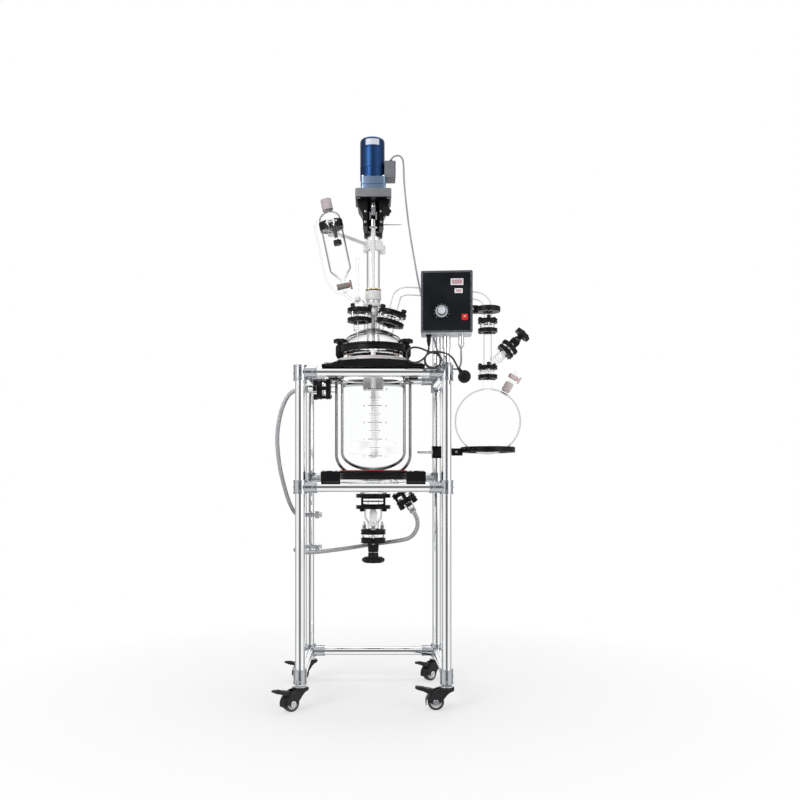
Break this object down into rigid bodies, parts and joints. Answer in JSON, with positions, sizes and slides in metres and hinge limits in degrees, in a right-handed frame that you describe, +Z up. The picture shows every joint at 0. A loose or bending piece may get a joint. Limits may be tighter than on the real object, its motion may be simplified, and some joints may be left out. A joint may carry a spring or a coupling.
{
  "type": "jacketed glass reactor",
  "caption": "Floor-standing glass reactor with a double wall, paddle stirrer and drive, dosing funnel, receiver, bottom drain and control box on a castored tube stand.",
  "frame": {"origin": "on the floor, below the vessel's axis, in the middle of the stand", "axes": "+X to the receiver's side, +Y to the back, +Z up along the vessel's axis"},
  "size_m": [0.9049, 0.579, 1.8933],
  "materials": {
    "stainless": "polished",
    "clamp_black": "satin powder coat",
    "clear_glass": "clear borosilicate",
    "white_ptfe": "smooth",
    "motor_blue": "satin paint",
    "seal_red": "matte",
    "castor_tyre": "matte",
    "castor_housing": "matte",
    "hose_braid": "braided",
    "cable_grey": "matte",
    "lead_black": "matte",
    "box_black": "fine texture",
    "switch_red": "gloss",
    "grip_black": "satin"
  },
  "bodies": {
    "reactor": {"left_side_frame": "stainless", "right_side_frame": "stainless", "front_top_rail": "stainless", "front_mid_rail": "stainless", "rear_top_rail": "stainless", "rear_mid_rail": "stainless", "rear_low_rail": "stainless", "collar_plate": "clamp_black", "lower_support": "clamp_black", "lower_pad": "seal_red", "rim_gasket": "seal_red", "reactor_vessel": "clear_glass", "vessel_lid": "clear_glass", "lid_clamp_band": "clamp_black", "left_neck_clamp": "clamp_black", "right_neck_clamp": "clamp_black", "shaft_seal": "white_ptfe", "motor_bracket": "clamp_black", "gear_motor": "motor_blue", "support_column": "stainless", "addition_funnel": "clear_glass", "funnel_clamp": "clamp_black", "vapour_pipe": "clear_glass", "receiver_adapter": "clear_glass", "high_coupling": "clamp_black", "low_coupling": "clamp_black", "angled_valve_bonnet": "clamp_black", "receiving_flask": "clear_glass", "flask_ring": "clamp_black", "pipe_ring": "clamp_black", "drain_valve_body": "clear_glass", "drain_clamp": "clamp_black", "drain_valve_bonnet": "clamp_black", "jacket_inlet_clamp": "clamp_black", "jacket_outlet_clamp": "clamp_black", "control_box": "box_black", "box_pole": "stainless", "inlet_hose": "hose_braid", "outlet_hose": "hose_braid", "inlet_hose_nut": "stainless", "outlet_hose_nut": "stainless", "motor_cable": "cable_grey", "mains_lead": "lead_black", "mains_plug": "lead_black"},
    "agitator": {"stirrer": "white_ptfe", "drive_coupling": "stainless"},
    "drain_screw": {"drain_handwheel": "grip_black"},
    "angled_screw": {"angled_valve_handwheel": "grip_black"},
    "funnel_key": {"funnel_stopcock": "white_ptfe"},
    "flask_key": {"flask_stopcock": "clear_glass"},
    "speed_dial": {"speed_knob": "stainless"},
    "power_rocker": {"power_switch": "switch_red"},
    "castor_front_left": {"castor_fork_front_left": "castor_housing"},
    "wheel_front_left": {"castor_wheel_front_left": "castor_tyre"},
    "castor_front_right": {"castor_fork_front_right": "castor_housing"},
    "wheel_front_right": {"castor_wheel_front_right": "castor_tyre"},
    "castor_rear_left": {"castor_fork_rear_left": "castor_housing"},
    "wheel_rear_left": {"castor_wheel_rear_left": "castor_tyre"},
    "castor_rear_right": {"castor_fork_rear_right": "castor_housing"},
    "wheel_rear_right": {"castor_wheel_rear_right": "castor_tyre"}
  },
  "joints": [
    {"name": "stirring", "type": "hinge", "parent": "reactor", "child": "agitator", "pos_m": [0, 0, 0.834], "axis": [0, 0, 1], "continuous": true},
    {"name": "swivel_front_left", "type": "hinge", "parent": "reactor", "child": "castor_front_left", "pos_m": [-0.2325, -0.21, 0.075], "axis": [0, 0, 1], "continuous": true},
    {"name": "roll_front_left", "type": "hinge", "parent": "castor_front_left", "child": "wheel_front_left", "pos_m": [-0.25929, -0.23093, 0.026], "axis": [-0.6157, 0.788, 0], "continuous": true},
    {"name": "swivel_front_right", "type": "hinge", "parent": "reactor", "child": "castor_front_right", "pos_m": [0.2325, -0.21, 0.075], "axis": [0, 0, 1], "continuous": true},
    {"name": "roll_front_right", "type": "hinge", "parent": "castor_front_right", "child": "wheel_front_right", "pos_m": [0.1985, -0.21, 0.026], "axis": [0, 1, 0], "continuous": true},
    {"name": "swivel_rear_left", "type": "hinge", "parent": "reactor", "child": "castor_rear_left", "pos_m": [-0.2325, 0.21, 0.075], "axis": [0, 0, 1], "continuous": true},
    {"name": "roll_rear_left", "type": "hinge", "parent": "castor_rear_left", "child": "wheel_rear_left", "pos_m": [-0.26133, 0.19198, 0.026], "axis": [-0.5299, 0.848, 0], "continuous": true},
    {"name": "swivel_rear_right", "type": "hinge", "parent": "reactor", "child": "castor_rear_right", "pos_m": [0.2325, 0.21, 0.075], "axis": [0, 0, 1], "continuous": true},
    {"name": "roll_rear_right", "type": "hinge", "parent": "castor_rear_right", "child": "wheel_rear_right", "pos_m": [0.20645, 0.18815, 0.026], "axis": [-0.6428, 0.766, 0], "continuous": true},
    {"name": "drain_valve_turn", "type": "hinge", "parent": "reactor", "child": "drain_screw", "pos_m": [0, 0, 0.45], "axis": [0, 0, -1], "range_deg": [0, 1080]},
    {"name": "angled_valve_turn", "type": "hinge", "parent": "reactor", "child": "angled_screw", "pos_m": [0.447, 0.178, 1.164], "axis": [0.7071, 0, 0.7071], "range_deg": [0, 1080]},
    {"name": "funnel_stopcock_turn", "type": "hinge", "parent": "reactor", "child": "funnel_key", "pos_m": [-0.09893, -0.04, 1.38474], "axis": [0.9781, 0, 0.2079], "range_deg": [0, 180]},
    {"name": "flask_stopcock_turn", "type": "hinge", "parent": "reactor", "child": "flask_key", "pos_m": [0.509, 0.178, 1.10408], "axis": [0.866, 0, -0.5], "range_deg": [0, 180]},
    {"name": "speed_dial_turn", "type": "hinge", "parent": "reactor", "child": "speed_dial", "pos_m": [0.21333, -0.25477, 1.256], "axis": [-0.0698, -0.9976, 0], "range_deg": [-270, 0]},
    {"name": "power_rocker_tilt", "type": "hinge", "parent": "reactor", "child": "power_rocker", "pos_m": [0.28515, -0.25979, 1.238], "axis": [-0.9976, 0.0698, 0], "range_deg": [0, 14]}
  ]
}
